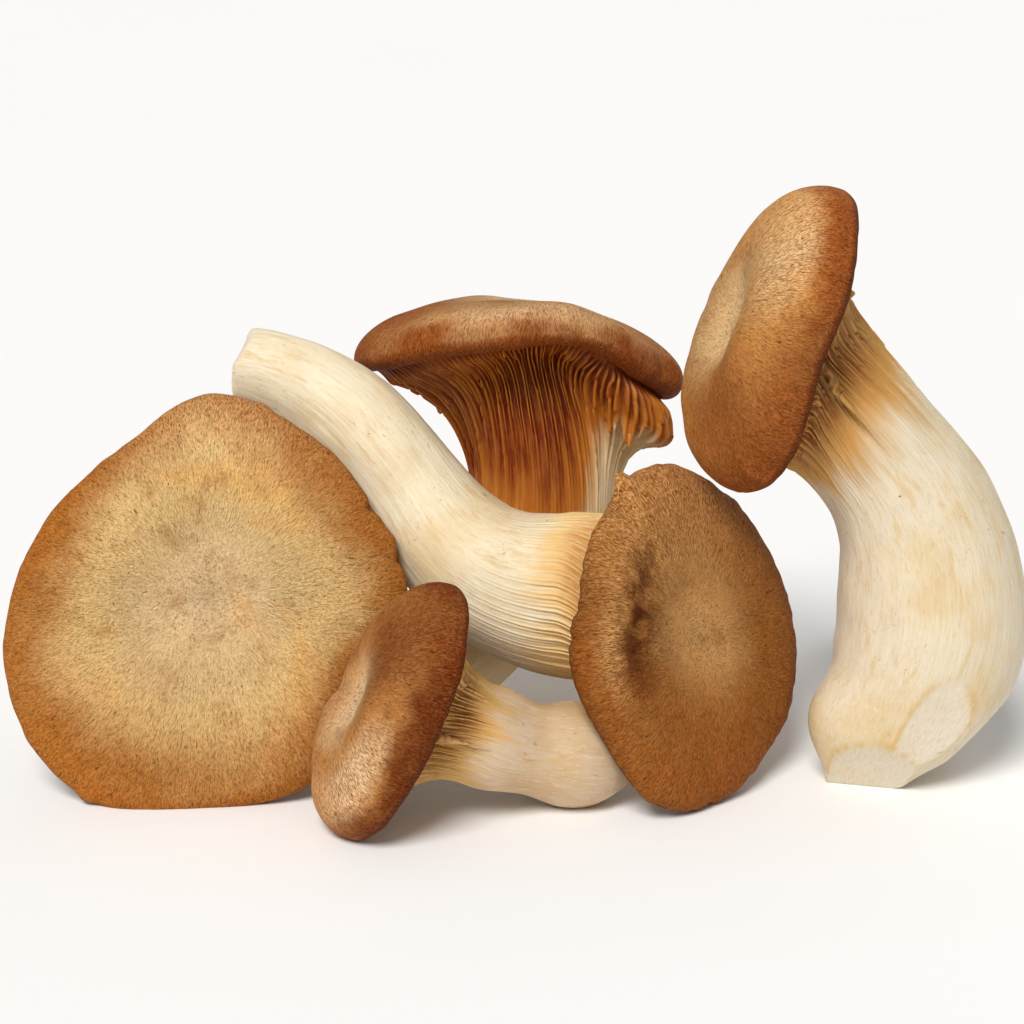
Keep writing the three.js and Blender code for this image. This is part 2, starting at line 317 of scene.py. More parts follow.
def flare_surface(m, axes, neck, angle, share):
    """The smooth flare from the neck at share 0 to inside the cap's rolled margin at share 1."""
    start = ring(neck, angle)
    out = outward(axes, angle)
    end = cap_surface(m, axes, angle, np.full_like(angle, math.pi / 2 + MARGIN_TURN))
    end = end - MARGIN_TUCK * out + MARGIN_TUCK * axes[2]
    pull = np.linalg.norm(start - end, axis=-1, keepdims=True) * FLARE_PULL
    middle, spread, rise, reach, drop = m.get("lip", (0, 1, 0, 0, 0))
    sag = bump(angle, middle, spread)[..., None]
    leaving = start + neck.tangent * pull * (1 + rise * sag)
    arriving = end + out * (sag * reach - (1 - sag) * pull) - axes[2] * (FLARE_DROP + sag * drop)
    return bezier(start, leaving, arriving, end, share[..., None])


def grid_normals(points):
    """Normals of a grid of rings, for rows that run away from the base and columns that run counter-clockwise."""
    round_it = np.roll(points, -1, axis=1) - np.roll(points, 1, axis=1)
    onward = np.gradient(points, axis=0)
    return unit(np.cross(round_it, onward))


# Meshes

class Skin:
    """Rings of corners joined by strips and closed by fans, with values on the corners for the materials."""

    def __init__(self):
        self.points = []
        self.values = {}
        self.faces = []
        self.count = 0

    def add(self, points, **values):
        points = np.asarray(points, float).reshape(-1, 3)
        self.points.append(points)
        for name, value in values.items():
            value = np.asarray(value, float)
            self.values.setdefault(name, []).append(np.broadcast_to(value, (len(points),) + value.shape[1:]).copy())
        first = self.count
        self.count += len(points)
        return np.arange(first, self.count)

    def strip(self, lower, upper):
        """Quads between two rings."""
        self.faces += np.stack([lower, np.roll(lower, -1), np.roll(upper, -1), upper], 1).tolist()

    def fan(self, tip, ring_corners):
        self.faces += np.stack([np.full(len(ring_corners), tip), ring_corners, np.roll(ring_corners, -1)], 1).tolist()

    def build(self, name, material):
        points = np.concatenate(self.points)
        points[:, 2] = np.maximum(points[:, 2], 0)
        mesh = bpy.data.meshes.new(name)
        mesh.from_pydata((points * MM).tolist(), [], self.faces)
        for key, parts in self.values.items():
            data = np.concatenate(parts)
            kind = "FLOAT_VECTOR" if data.ndim == 2 else "FLOAT"
            attribute = mesh.attributes.new(key, kind, "POINT")
            attribute.data.foreach_set("vector" if data.ndim == 2 else "value", data.astype(np.float32).ravel())
        mesh.polygons.foreach_set("use_smooth", np.ones(len(mesh.polygons), bool))
        mesh.validate()
        mesh.materials.append(material)
        piece = bpy.data.objects.new(name, mesh)
        bpy.context.scene.collection.objects.link(piece)
        return piece


def place_on(piece, node):
    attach(piece, "root")
    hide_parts(node)


def cap_relief(m, angle, bend, seed):
    """How far the skin stands off the plain cap: soft lumps, wrinkles towards the edge, and a roll by the edge."""
    reach = np.sin(np.minimum(bend, math.pi / 2))
    edge = smoothstep(reach, 0.6, 1.0)
    lumps = 0.6 * ring_noise(angle, reach, 1.4, 2.6, seed) * smoothstep(reach, 0, 0.3)
    ripples = 0.32 * ring_noise(angle, reach, 4.0, 5.0, seed + 1) * smoothstep(reach, 0.1, 0.7)
    wrinkles = 0.16 * ring_noise(angle, reach, 13.0, 3.5, seed + 2) * edge
    relief = lumps + ripples + wrinkles
    bruise = np.zeros_like(reach)
    if "roll" in m:
        middle, spread, rise, groove = m["roll"]
        here = bump(angle, middle, spread)
        band = np.exp(-(((reach - 0.82) / 0.16) ** 2))
        ditch = np.exp(-(((reach - 0.57) / 0.1) ** 2))
        crinkle = 0.8 * ring_noise(angle, reach, 22.0, 9.0, seed + 7)
        pleats = 0.9 - 1.9 * np.abs(ring_noise(angle, reach, 9.0, 2.2, seed + 8))
        groove = groove * (1 + 0.8 * ring_noise(angle, reach, 5.0, 5.0, seed + 12))
        relief = relief + here * (rise * band - groove * ditch + (crinkle + pleats) * (band + 0.6 * ditch))
        blots = smoothstep(ring_noise(angle, reach, 8.0, 9.0, seed + 9), -0.35, 0.1)
        bruise = here * blots * np.exp(-(((reach - 0.62) / 0.15) ** 2))
    return relief, bruise


def make_cap(name, m, seed, material):
    axes = cap_axes(m)
    angle = np.arange(CAP_COLUMNS) / CAP_COLUMNS * 2 * math.pi
    crown = np.linspace(0, math.pi / 2, CROWN_ROWS + 1)[1:]
    rolled = math.pi / 2 + MARGIN_TURN * np.linspace(0, 1, MARGIN_ROWS + 1)[1:]
    bends = np.concatenate([crown, rolled])
    angles, rows = np.meshgrid(angle, bends)
    plain = cap_surface(m, axes, angles, rows)
    relief, bruise = cap_relief(m, angles, rows, seed)
    edge = np.exp(-(((rows - math.pi / 2) / 0.4) ** 2))
    nibble = ring_noise(angles, rows, 22.0, 1.0, seed + 3) + 1.4 * ring_noise(angles, rows, 7.0, 1.0, seed + 4)
    nibble = nibble * m["ragged"]
    for middle, spread, shift in m.get("edge", ()):
        nibble = nibble + shift * bump(angles, middle, spread)
    points = plain - grid_normals(plain) * relief[..., None] + outward(axes, angles) * (nibble * edge)[..., None]
    top = cap_surface(m, axes, np.zeros(1), np.zeros(1))
    steps = np.linalg.norm(np.diff(np.concatenate([np.broadcast_to(top, plain[:1].shape), plain]), axis=0), axis=-1)
    distance = np.cumsum(steps, axis=0)
    crown_reach = np.sin(np.minimum(rows, math.pi / 2)) ** CAP_FULLNESS
    reach = np.where(rows <= math.pi / 2, crown_reach, 1 + (rows - math.pi / 2) * 0.1)
    size = float(np.mean(m["outline"]))
    spoke = np.stack([np.cos(angles) * size, np.sin(angles) * size, distance], -1)
    # Darker sides, partly the skin's own tone and partly painted shade; values below 0 mark painted highlight bands
    shade = np.zeros_like(reach)
    for middle, spread, strength, low, high, end in m.get("shades", ()):
        band = smoothstep(reach, low, high) * (1 - smoothstep(reach, end - 0.12, end))
        shade = shade + strength * bump(angles, middle, spread) * band
    skin = Skin()
    tip = skin.add(top, reach=0.0, spoke=np.zeros((1, 3)), bruise=0.0, shade=0.0)
    rings = []
    for i in range(len(bends)):
        rings.append(skin.add(points[i], reach=reach[i], spoke=spoke[i], bruise=bruise[i], shade=shade[i]))
    skin.fan(tip[0], rings[0])
    for lower, upper in zip(rings[1:], rings[:-1]):
        skin.strip(lower, upper)
    seat = cap_middle(m) + axes[2] * (m["crown"] - m["dish"]) * SEAT_SHARE
    seat_tip = skin.add(seat, reach=1.3, spoke=np.zeros((1, 3)), bruise=0.0, shade=0.0)
    skin.fan(seat_tip[0], rings[-1][::-1])
    place_on(skin.build(f"{name}_cap_skin", material), f"{name}_cap")


class Gills:
    """The random draw for one mushroom's gills: where each starts, how high it is, how it leans, tears and wanders."""

    def __init__(self, m, seed):
        self.seed = seed
        rng = np.random.default_rng(seed)
        angle = np.arange(GILLS) / GILLS * 2 * math.pi
        short = np.arange(GILLS) % 3 == 1
        uneven = 0.12 * ring_noise(angle, 0 * angle, 1.5, 1.0, seed + 4) + rng.uniform(-0.1, 0.1, GILLS)
        self.start = m["gill_start"] + uneven + np.where(short, rng.uniform(0.25, 0.5, GILLS), 0)
        self.height = rng.uniform(0.82, 1.12, GILLS)
        self.tears = np.sort(rng.uniform(0.02, 0.92, (GILLS, TEARS)), axis=1)
        self.gap = rng.uniform(0.25, 0.75, (GILLS, TEARS)) * (rng.random((GILLS, TEARS)) < 0.75) * m["torn"]
        self.lean = rng.uniform(-0.4, 0.4, (GILLS, TEARS + 1)) * (0.35 + 0.65 * m["torn"])
        self.step = 1 - rng.uniform(0.0, 0.4, (GILLS, TEARS + 1)) * m["torn"]

    def wander(self, angle, share):
        """How far the gills drift sideways, in gill widths."""
        wide = 1.0 * ring_noise(angle, share, 2.0, 1.6, self.seed + 5)
        near = 0.35 * ring_noise(angle, share, 8.0, 4.0, self.seed + 6)
        return (wide + near) * smoothstep(share, -0.6, 0.6)

    def shape(self, gill, share):
        """A gill's height from 0 to 1 and its sideways lean in gill widths, at a share of the flare."""
        start = self.start[gill]
        up = smoothstep(share, start, start + GILL_CLIMB)
        piece = (share[..., None] > self.tears[gill]).sum(-1)
        height = self.height[gill] * self.step[gill, piece]
        for k in range(TEARS):
            tear = np.exp(-(((share - self.tears[gill, k]) / TEAR_WIDTH) ** 2))
            height = height * (1 - self.gap[gill, k] * tear)
        height = height * (1 + 0.12 * noise(gill * 3.7, share * 9.0, 0.5, self.seed + 7))
        return height * up * (1 - smoothstep(share, 0.9, 1.0)), self.lean[gill, piece]

    def line(self, gill, share):
        """The height of the faint ridge that runs on down the stem below a gill, in millimetres."""
        start = self.start[gill]
        return GILL_LINE * smoothstep(share, start - 0.6, start) * (1 - smoothstep(share, 0, 0.3))


def stem_relief(angle, distance, radius, seed):
    """Soft lumps and lengthwise fibres on a stem, in millimetres. distance is measured along the stem."""
    lumps = 0.6 * ring_noise(angle, distance, 1.2, 1 / 16, seed)
    dents = 0.25 * ring_noise(angle, distance, 3.0, 1 / 7, seed + 1)
    fibres = 0.07 * ring_noise(angle, distance, 12.0, 1 / 12, seed + 2)
    threads = 0.04 * ring_noise(angle, distance, 26.0, 1 / 9, seed + 3)
    return lumps + dents + (fibres + threads) * np.minimum(radius / 12, 1)


def gill_stain(m, angle, share, seed):
    """How far the flesh has the gills' colour, 0 to 1, with an uneven start, and less of it on a side with painted
    light.
    """
    low, high = m["amber"]
    uneven = 0.16 * ring_noise(angle, share, 3.0, 1.5, seed + 41)
    uneven = uneven + 0.1 * ring_noise(angle, share, 14.0, 1.5, seed + 42)
    middle, spread, shift = m.get("painted_lit_gills", (0, 1, 0))
    return smoothstep(share + uneven - shift * bump(angle, middle, spread), low, high)


def cut_stem(m, rings, distance):
    """Slices flat faces off the stem near its base. Gives each corner's cut, 0 or 1, and its nearness to the rim.

    A standing stem's corners slide level, so that its base stays on the floor.
    """
    near = distance[:, None] < CUT_REACH
    level_only = np.array([1.0, 1.0, 0.0]) if m["standing"] else np.ones(3)
    cut = np.zeros(rings.shape[:2])
    rim = np.zeros(rings.shape[:2])
    for way, depth in m.get("cuts", ()):
        way = unit(way)
        height = rings @ way
        level = np.where(near, height, -1e9).max() - depth
        over = np.where(near, height - level, -9.0)
        slide = way * level_only
        rings = rings - slide / slide.dot(way) * np.maximum(over, 0)[..., None]
        cut = np.maximum(cut, smoothstep(over, 0.0, CUT_FADE))
        rim = np.maximum(rim * (over < CUT_FADE), np.exp(-((over / 0.2) ** 2)))
    return rings, cut, rim


def gill_rows(m, gills, share, seed):
    """Rows of columns at shares of the flare: angle, gill height, stain, and how far the gills raise the flesh."""
    gill = np.broadcast_to(GILL_OF_COLUMN, share.shape)
    angle = (gill + PLACE_IN_GILL) * GILL_WIDTH
    rise, lean = gills.shape(gill, share)
    angle = angle + (gills.wander(angle, share) + lean * rise * ON_RIDGE) * GILL_WIDTH
    raised = ON_RIDGE * (gills.line(gill, share) + m["gills"] * rise)
    return angle, rise, gill_stain(m, angle, share, seed), raised


def add_stem(skin, m, circles, distance, gills, seed):
    """The stem's rings from its base to its neck. Gives their corners, the base's points and its angles."""
    centres = np.array([circle.centre for circle in circles])
    radius = np.array([circle.radius for circle in circles])[:, None]
    far = np.broadcast_to(distance[:, None], (len(circles), len(GILL_OF_COLUMN)))
    angle, rise, amber, raised = gill_rows(m, gills, (far - distance[-1]) / FLARE_SPAN, seed)
    relief = stem_relief(angle, far, radius, seed + 20) * smoothstep(far, 0.0, 6.0) + raised
    round_off = BASE_ROUNDING * (1 - np.sqrt(np.clip(1 - (1 - np.minimum(far / BASE_ROUNDING, 1)) ** 2, 0, 1)))
    ragged = 0.35 * ring_noise(angle, far, 5.0, 0.3, seed + 33) * np.exp(-far / 3)
    middle, spread, level, depth, reach = m.get("toe", (0, 1, 0, 1, 0))
    toe = reach * np.exp(-(((centres[:, 2:] - level) / depth) ** 2)) * bump(angle, middle, spread)
    points = np.array([ring(c, a) for c, a in zip(circles, angle)])
    out = unit(points - centres[:, None])
    points = points + out * (relief - round_off + ragged + toe)[..., None]
    points, cut, rim = cut_stem(m, points, distance)
    place = np.stack([np.cos(angle) * radius, np.sin(angle) * radius, far], -1)
    ridge = ON_RIDGE * rise
    rings = []
    for i in range(len(circles)):
        values = dict(place=place[i], amber=amber[i], ridge=ridge[i], cut=cut[i], rim=rim[i])
        rings.append(skin.add(points[i], **values))
    return rings, points[0], angle[0]


def add_base(skin, m, tangent, edge_ring, mouth, angle, seed):
    """The cut base: level on a standing stem, and a slightly hollow face on a lying one."""
    heart = mouth.mean(0)
    inward = np.zeros(3) if m["standing"] else tangent
    base_values = dict(amber=0.0, ridge=1.0, cut=1.0, rim=0.0)
    for k in np.linspace(1, 0, BASE_ROWS + 1)[1:-1]:
        dent = 0.3 * ring_noise(angle, 0 * angle + k, 3.0 * k, 3.0, seed + 31) + LYING_BASE_HOLLOW * (1 - k * k)
        inner = heart + (mouth - heart) * k + inward * dent[:, None]
        texture_radius = BASE_TEXTURE_RADIUS * k
        flat = np.stack([np.cos(angle) * texture_radius, np.sin(angle) * texture_radius, 0 * angle], -1)
        inner_ring = skin.add(inner, place=flat, **base_values)
        skin.strip(inner_ring, edge_ring)
        edge_ring = inner_ring
    tip = skin.add(heart + inward * LYING_BASE_HOLLOW, place=np.zeros((1, 3)), **base_values)
    skin.fan(tip[0], edge_ring[::-1])


def add_flare(skin, m, axes, neck, length, gills, seed):
    """The flare's rings from the neck to the cap. Gives their corners."""
    share = np.broadcast_to(np.linspace(0, 1, FLARE_ROWS + 1)[1:, None], (FLARE_ROWS, len(GILL_OF_COLUMN)))
    far = length + share * FLARE_SPAN
    angle, rise, amber, raised = gill_rows(m, gills, share, seed)
    points = flare_surface(m, axes, neck, angle, share)
    relief = stem_relief(angle, far, neck.radius, seed + 20) * (1 - smoothstep(share, 0, 0.5)) + raised
    points = points + grid_normals(points) * relief[..., None]
    for middle, spread, where, long in m.get("tags", ()):
        hang = long * bump(angle, middle, spread) * np.exp(-(((share - where) / TAG_WIDTH) ** 2))
        points = points - axes[2] * hang[..., None]
    place = np.stack([np.cos(angle) * neck.radius, np.sin(angle) * neck.radius, far], -1)
    ridge = ON_RIDGE * rise
    rings = []
    for i in range(FLARE_ROWS):
        rings.append(skin.add(points[i], place=place[i], amber=amber[i], ridge=ridge[i], cut=0.0, rim=0.0))
    return rings


def make_gilled_stem(name, m, seed, material):
    axes = cap_axes(m)
    circles = stem_circles(m, axes, np.linspace(0, 1, STEM_ROWS + 1) ** STEM_CROWDING)
    gills = Gills(m, seed)
    steps = np.diff(np.array([circle.centre for circle in circles]), axis=0)
    distance = np.concatenate([[0], np.cumsum(np.linalg.norm(steps, axis=1))])
    skin = Skin()
    rings, mouth, mouth_angle = add_stem(skin, m, circles, distance, gills, seed)
    add_base(skin, m, circles[0].tangent, rings[0], mouth, mouth_angle, seed)
    rings += add_flare(skin, m, axes, circles[-1], distance[-1], gills, seed)
    for lower, upper in zip(rings[:-1], rings[1:]):
        skin.strip(lower, upper)
    seat = cap_middle(m) + axes[2] * ((m["crown"] - m["dish"]) * SEAT_SHARE - SEAT_GAP)
    tip = skin.add(seat, place=np.zeros((1, 3)), amber=1.0, ridge=0.0, cut=0.0, rim=0.0)
    skin.fan(tip[0], rings[-1])
    place_on(skin.build(f"{name}_gilled_flesh", material), f"{name}_gilled_stem")


# Materials

class Shader:
    """Short calls for a material's nodes."""

    def __init__(self, name):
        self.material = bpy.data.materials.new(name)
        self.material.use_nodes = True
        self.tree = self.material.node_tree
        self.tree.nodes.clear()
        self.output = self.tree.nodes.new("ShaderNodeOutputMaterial")

    def node(self, kind, **inputs):
        made = self.tree.nodes.new(kind)
        for key, value in inputs.items():
            self.set(made.inputs[key.replace("_", " ")], value)
        return made

    def set(self, socket, value):
        if isinstance(value, bpy.types.NodeSocket):
            self.tree.links.new(value, socket)
        else:
            socket.default_value = value

    def attribute(self, name):
        made = self.tree.nodes.new("ShaderNodeAttribute")
        made.attribute_name = name
        return made

    def maths(self, operation, a, b=0.0, clamp=False):
        made = self.tree.nodes.new("ShaderNodeMath")
        made.operation = operation
        made.use_clamp = clamp
        self.set(made.inputs[0], a)
        self.set(made.inputs[1], b)
        return made.outputs[0]

    def vector(self, operation, a, b):
        made = self.tree.nodes.new("ShaderNodeVectorMath")
        made.operation = operation
        self.set(made.inputs[0], a)
        self.set(made.inputs[1], b)
        return made.outputs[0]

    def noise(self, vector, scale, detail=3.0, roughness=0.55, distortion=0.0):
        made = self.node("ShaderNodeTexNoise", Vector=vector, Scale=scale, Detail=detail, Roughness=roughness)
        made.inputs["Distortion"].default_value = distortion
        return made.outputs["Fac"]

    def spread(self, value, low, high, to_low=0.0, to_high=1.0):
        made = self.tree.nodes.new("ShaderNodeMapRange")
        made.interpolation_type = "SMOOTHSTEP"
        self.set(made.inputs["Value"], value)
        made.inputs["From Min"].default_value = low
        made.inputs["From Max"].default_value = high
        made.inputs["To Min"].default_value = to_low
        made.inputs["To Max"].default_value = to_high
        return made.outputs["Result"]

    def mix(self, share, a, b, blend="MIX"):
        made = self.tree.nodes.new("ShaderNodeMix")
        made.data_type = "RGBA"
        made.blend_type = blend
        self.set(made.inputs["Factor"], share)
        self.set(made.inputs["A"], a)
        self.set(made.inputs["B"], b)
        return made.outputs["Result"]

    def bump(self, height, distance, strength=1.0, normal=None):
        made = self.node("ShaderNodeBump", Height=height, Distance=distance, Strength=strength)
        if normal is not None:
            self.set(made.inputs["Normal"], normal)
        return made.outputs["Normal"]

    def finish(self, **inputs):
        surface = self.node("ShaderNodeBsdfPrincipled", **inputs)
        self.tree.links.new(surface.outputs[0], self.output.inputs["Surface"])
        return self.material


def srgb(red, green, blue):
    """A shader colour from an sRGB one, each part from 0 to 255."""
    def linear(value):
        value = value / 255
        return value / 12.92 if value <= 0.04045 else ((value + 0.055) / 1.055) ** 2.4
    return (linear(red), linear(green), linear(blue), 1.0)


def mix_colours(a, b, share):
    return tuple(x * (1 - share) + y * share for x, y in zip(a, b))


def speck_places(s, place):
    """Places for small irregular specks: the object's own place, warped a little."""
    warp = s.node("ShaderNodeTexNoise", Vector=place, Scale=700.0, Detail=2.0)
    return s.vector("ADD", place, s.vector("MULTIPLY", warp.outputs["Color"], (0.0022, 0.0022, 0.0022)))


def cap_material(name, rim_at, pale, middle, rim, under):
    s = Shader(f"{name}_cap_brown")
    spoke = s.attribute("spoke").outputs["Vector"]
    reach = s.attribute("reach").outputs["Fac"]
    bruise = s.attribute("bruise").outputs["Fac"]
    shade = s.attribute("shade").outputs["Fac"]
    place = s.node("ShaderNodeTexCoord").outputs["Object"]

    # From the middle outward, with uneven borders, and darker sides: partly the skin's own tone, partly painted shade
    patches = s.noise(place, 48.0, 4.0, 0.6)
    blotches = s.noise(place, 130.0, 4.0, 0.65)
    shifted = s.maths("ADD", reach, s.maths("MULTIPLY", s.maths("SUBTRACT", patches, 0.5), 0.55))
    colour = s.mix(s.spread(shifted, 0.1, 0.6), pale, middle)
    colour = s.mix(s.spread(shifted, *rim_at), colour, rim)
    colour = s.mix(s.maths("MULTIPLY", shade, 0.85, True), colour, mix_colours(rim, under, 0.2))
    colour = s.mix(s.spread(reach, 0.97, 1.08), colour, under)
    warm = s.spread(s.noise(place, 36.0, 3.0, 0.6, 0.6), 0.5, 0.66, 0.0, 0.6)
    colour = s.mix(warm, colour, s.mix(1.0, colour, (1.05, 0.85, 0.6, 1.0), "MULTIPLY"))
    colour = s.mix(s.spread(blotches, 0.5, 0.7, 0.0, 0.4), colour, mix_colours(rim, under, 0.35))

    # Hairs that run outward, and felt and crumbs in the middle
    bend = s.noise(place, 320.0, 2.0, 0.5)
    sway = s.node("ShaderNodeCombineXYZ", X=bend, Y=s.noise(place, 410.0, 2.0, 0.5), Z=0.0).outputs[0]
    wavy = s.vector("ADD", spoke, sway)
    hairs = s.noise(s.vector("MULTIPLY", wavy, (4.2, 4.2, 1.1)), 1.0, 2.0, 0.6)
    strands = s.noise(s.vector("MULTIPLY", wavy, (2.0, 2.0, 0.55)), 1.0, 3.0, 0.7)
    felt = s.noise(place, 2600.0, 2.0, 0.6)
    crumbs = s.noise(place, 1100.0, 3.0, 0.7)
    outer = s.spread(reach, 0.12, 0.45)
    fine = s.mix(outer, felt, hairs)
    coarse = s.mix(outer, crumbs, strands)
    # Painted highlight: where the shading value is below 0, pale hairs in the cap's pale colour stand in for a sheen
    sheen = s.maths("MULTIPLY", shade, -1.0, True)
    colour = s.mix(s.maths("MULTIPLY", sheen, s.spread(fine, 0.38, 0.6, 1.0, 0.25)), colour, pale)
    deep = s.mix(1.0, colour, (0.46, 0.31, 0.2, 1.0), "MULTIPLY")
    colour = s.mix(s.spread(fine, 0.5, 0.62, 0.0, 0.55), colour, deep)
    deep = s.mix(1.0, colour, (0.5, 0.35, 0.24, 1.0), "MULTIPLY")
    colour = s.mix(s.spread(coarse, 0.53, 0.65, 0.0, 0.5), colour, deep)
    colour = s.mix(s.spread(fine, 0.33, 0.47, 0.5, 0.0), colour, s.mix(0.2, colour, (0.92, 0.64, 0.34, 1.0)))

    # Dark dashes, specks and the bruise in the roll's groove
    dash = s.spread(s.noise(s.vector("MULTIPLY", wavy, (0.9, 0.9, 0.34)), 1.0, 4.0, 0.75), 0.62, 0.68, 0.0, 0.85)
    dash = s.maths("MULTIPLY", dash, s.spread(reach, 0.25, 0.6))
    colour = s.mix(dash, colour, mix_colours(under, (0.02, 0.01, 0.005, 1.0), 0.35))
    speck = s.node("ShaderNodeTexVoronoi", Vector=speck_places(s, place), Scale=150.0)
    spot = s.spread(speck.outputs["Distance"], 0.02, 0.08, 0.85, 0.0)
    chosen = s.spread(s.noise(place, 80.0, 1.0), 0.58, 0.62)
    colour = s.mix(s.maths("MULTIPLY", spot, chosen), colour, srgb(92, 44, 18))
    colour = s.mix(s.maths("MULTIPLY", bruise, 0.8), colour, srgb(116, 46, 18))

    # Low relief
    grain = s.maths("ADD", s.maths("MULTIPLY", coarse, 0.8), s.maths("MULTIPLY", fine, 0.6))
    normal = s.bump(grain, 0.0007, 1.0)
    wrinkles = s.noise(s.vector("MULTIPLY", wavy, (1.1, 1.1, 0.5)), 1.0, 4.0, 0.7, 1.0)
    normal = s.bump(s.maths("MULTIPLY", wrinkles, s.maths("ADD", bruise, 0.12)), 0.003, 1.0, normal)
    normal = s.bump(blotches, 0.0008, 0.4, normal)
    return s.finish(
        Base_Color=colour, Normal=normal, Roughness=0.6, Specular_IOR_Level=0.06,
        Subsurface_Weight=0.05, Subsurface_Scale=0.0015,
    )


def flesh_material(name, light, warm, shaded_valley, edge):
    s = Shader(f"{name}_cream_flesh")
    where = s.attribute("place").outputs["Vector"]
    amber = s.attribute("amber").outputs["Fac"]
    ridge = s.attribute("ridge").outputs["Fac"]
    cut = s.attribute("cut").outputs["Fac"]
    rim = s.attribute("rim").outputs["Fac"]
    place = s.node("ShaderNodeTexCoord").outputs["Object"]

    # Cream flesh with lengthwise fibres, stains, cracks and specks
    patches = s.noise(place, 40.0, 4.0, 0.6)
    colour = s.mix(s.spread(patches, 0.42, 0.64), light, warm)
    fibres = s.noise(s.vector("MULTIPLY", where, (1.9, 1.9, 0.15)), 1.0, 4.0, 0.7)
    tan = mix_colours(warm, srgb(198, 146, 74), 0.55)
    colour = s.mix(s.spread(fibres, 0.5, 0.7, 0.0, 0.4), colour, tan)
    colour = s.mix(s.spread(fibres, 0.32, 0.45, 0.3, 0.0), colour, srgb(244, 236, 218))
    stains = s.noise(s.vector("MULTIPLY", where, (0.35, 0.35, 0.07)), 1.0, 4.0, 0.65)
    colour = s.mix(s.spread(stains, 0.54, 0.7, 0.0, 0.55), colour, mix_colours(warm, srgb(206, 158, 70), 0.5))
    cracks = s.noise(s.vector("MULTIPLY", where, (0.9, 0.9, 0.5)), 1.0, 5.0, 0.8, 1.2)
    cracked = s.spread(s.noise(place, 60.0, 1.0), 0.48, 0.58)
    crack = s.maths("MULTIPLY", s.spread(cracks, 0.6, 0.66, 0.0, 0.6), cracked)
    colour = s.mix(crack, colour, srgb(176, 122, 56))
    speck = s.node("ShaderNodeTexVoronoi", Vector=speck_places(s, place), Scale=190.0)
    spot = s.spread(speck.outputs["Distance"], 0.03, 0.1, 0.85, 0.0)
    chosen = s.spread(s.noise(place, 100.0, 1.0), 0.57, 0.61)
    colour = s.mix(s.maths("MULTIPLY", spot, chosen), colour, srgb(140, 88, 38))

    # Fresh cuts, with a brown line round them
    fresh = s.mix(s.spread(fibres, 0.4, 0.7), srgb(234, 226, 212), srgb(222, 208, 184))
    colour = s.mix(s.maths("MULTIPLY", cut, 0.55), colour, fresh)
    rim = s.maths("MULTIPLY", rim, s.spread(patches, 0.42, 0.62, 0.1, 0.6))
    colour = s.mix(rim, colour, srgb(208, 168, 84))

    # Gills: paler on their edges, darker in the valleys between them, partly their own colour and partly painted shade
    tone = s.noise(s.vector("MULTIPLY", where, (0.6, 0.6, 0.22)), 1.0, 3.0, 0.65)
    top = s.mix(s.spread(tone, 0.36, 0.64), edge, mix_colours(edge, shaded_valley, 0.5))
    side = s.mix(s.spread(tone, 0.4, 0.62), shaded_valley, mix_colours(edge, shaded_valley, 0.7))
    gilled = s.mix(s.spread(ridge, 0.1, 0.95), side, top)
    streaked = s.maths("ADD", amber, s.maths("MULTIPLY", amber, s.maths("SUBTRACT", fibres, 0.5)))
    colour = s.mix(s.spread(streaked, 0.0, 0.5), colour, edge)
    colour = s.mix(s.spread(streaked, 0.4, 1.0), colour, gilled)

    grain = s.maths("ADD", s.maths("MULTIPLY", fibres, 0.9), s.maths("MULTIPLY", s.noise(place, 900.0, 2.0), 0.3))
    grain = s.maths("SUBTRACT", grain, s.maths("MULTIPLY", crack, 0.6))
    normal = s.bump(grain, 0.0004, 0.45)
    return s.finish(
        Base_Color=colour, Normal=normal, Roughness=0.45, Specular_IOR_Level=0.25,
        Subsurface_Weight=0.25, Subsurface_Scale=0.0025, Subsurface_Radius=(1.0, 0.5, 0.25),
    )


def floor_material():
    s = Shader("pale_floor")
    place = s.node("ShaderNodeTexCoord").outputs["Object"]
    colour = s.mix(s.noise(place, 6.0), (0.93, 0.93, 0.93, 1.0), (0.95, 0.95, 0.95, 1.0))
    return s.finish(Base_Color=colour, Roughness=0.8, Specular_IOR_Level=0.1)


# Stage, lights and camera

def make_floor():
    mesh = bpy.data.meshes.new("floor")
    half = 30.0
    mesh.from_pydata([(-half, -half, 0), (half, -half, 0), (half, half, 0), (-half, half, 0)], [], [(0, 1, 2, 3)])
    mesh.materials.append(floor_material())
    floor = bpy.data.objects.new("floor", mesh)
    bpy.context.scene.collection.objects.link(floor)


def make_light(name, way, softness, strength, colour):
    """A broad far light. way points from the heap to it, and softness is its width in degrees."""
    data = bpy.data.lights.new(name, "SUN")
    data.angle = math.radians(softness)
    data.energy = strength
    data.color = colour
    light = bpy.data.objects.new(name, data)
    light.rotation_euler = Vector(way).to_track_quat("Z", "Y").to_euler()
    bpy.context.scene.collection.objects.link(light)


def make_lights():
    world = bpy.data.worlds.new("studio")
    world.use_nodes = True
    world.node_tree.nodes["Background"].inputs["Color"].default_value = (1.0, 1.0, 1.0, 1.0)
    world.node_tree.nodes["Background"].inputs["Strength"].default_value = 0.3
    bpy.context.scene.world = world
    make_light("key", (-0.3, -0.75, 1.0), 26, 2.75, (1.0, 0.985, 0.955))
    make_light("back", (0.5, 0.8, 0.7), 60, 0.35, (1.0, 1.0, 1.0))
    bpy.context.scene.view_settings.view_transform = "Standard"


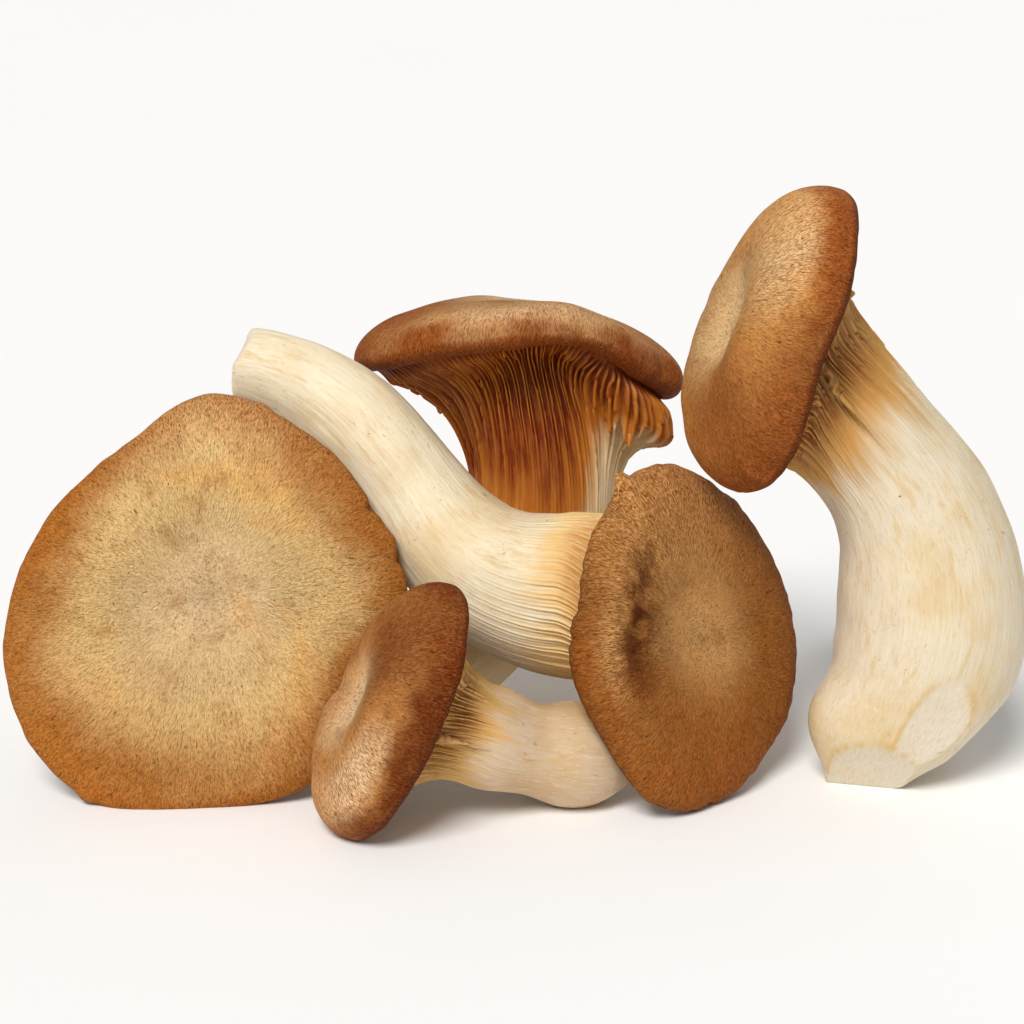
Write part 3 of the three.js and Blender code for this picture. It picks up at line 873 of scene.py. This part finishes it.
def make_camera():
    data = bpy.data.cameras.new("camera")
    data.lens = CAMERA_LENS
    data.sensor_width = CAMERA_SENSOR
    data.clip_start = 0.01
    camera = bpy.data.objects.new("camera", data)
    back = np.array([0, -math.cos(CAMERA_ELEVATION), math.sin(CAMERA_ELEVATION)])
    camera.location = Vector((CAMERA_TARGET + back * CAMERA_DISTANCE) * MM)
    camera.rotation_euler = (math.pi / 2 - CAMERA_ELEVATION, 0, 0)
    bpy.context.scene.collection.objects.link(camera)
    bpy.context.scene.camera = camera


# Each cap's skin, from its middle outward: pale, middle, rim, and under the edge
CAP_COLOURS = {
    "large": (srgb(252, 216, 164), srgb(255, 214, 146), srgb(192, 120, 46), srgb(132, 70, 24)),
    "diagonal": (srgb(222, 168, 104), srgb(172, 108, 48), srgb(166, 100, 40), srgb(112, 56, 18)),
    "upright": (srgb(250, 208, 164), srgb(220, 170, 114), srgb(164, 88, 32), srgb(146, 76, 28)),
    "curved": (srgb(254, 214, 158), srgb(224, 156, 84), srgb(170, 94, 38), srgb(112, 50, 12)),
    "small": (srgb(255, 220, 174), srgb(210, 144, 78), srgb(128, 58, 12), srgb(112, 54, 14)),
}
# Each stem's flesh: light and warm, then the gills' valleys, darker partly as painted shade, and edges
FLESH_COLOURS = {
    "large": (srgb(230, 215, 188), srgb(222, 198, 156), srgb(142, 80, 30), srgb(214, 170, 112)),
    "diagonal": (srgb(236, 222, 192), srgb(228, 206, 164), srgb(206, 150, 84), srgb(232, 194, 132)),
    # The upright's gill colours are darkened as painted shade under its cap
    "upright": (srgb(238, 216, 176), srgb(226, 196, 144), srgb(112, 34, 3), srgb(190, 116, 38)),
    "curved": (srgb(226, 212, 186), srgb(220, 198, 156), srgb(146, 84, 28), srgb(200, 150, 82)),
    # The small stem's flesh is darker as painted shade from the diagonal cap above it
    "small": (srgb(216, 192, 162), srgb(206, 174, 132), srgb(172, 106, 44), srgb(222, 176, 108)),
}

make_camera()
make_floor()
make_lights()
for index, (name, m) in enumerate(MUSHROOMS.items()):
    seed = 100 + 40 * index
    make_cap(name, m, seed, cap_material(name, m["rim_at"], *CAP_COLOURS[name]))
    make_gilled_stem(name, m, seed + 10, flesh_material(name, *FLESH_COLOURS[name]))
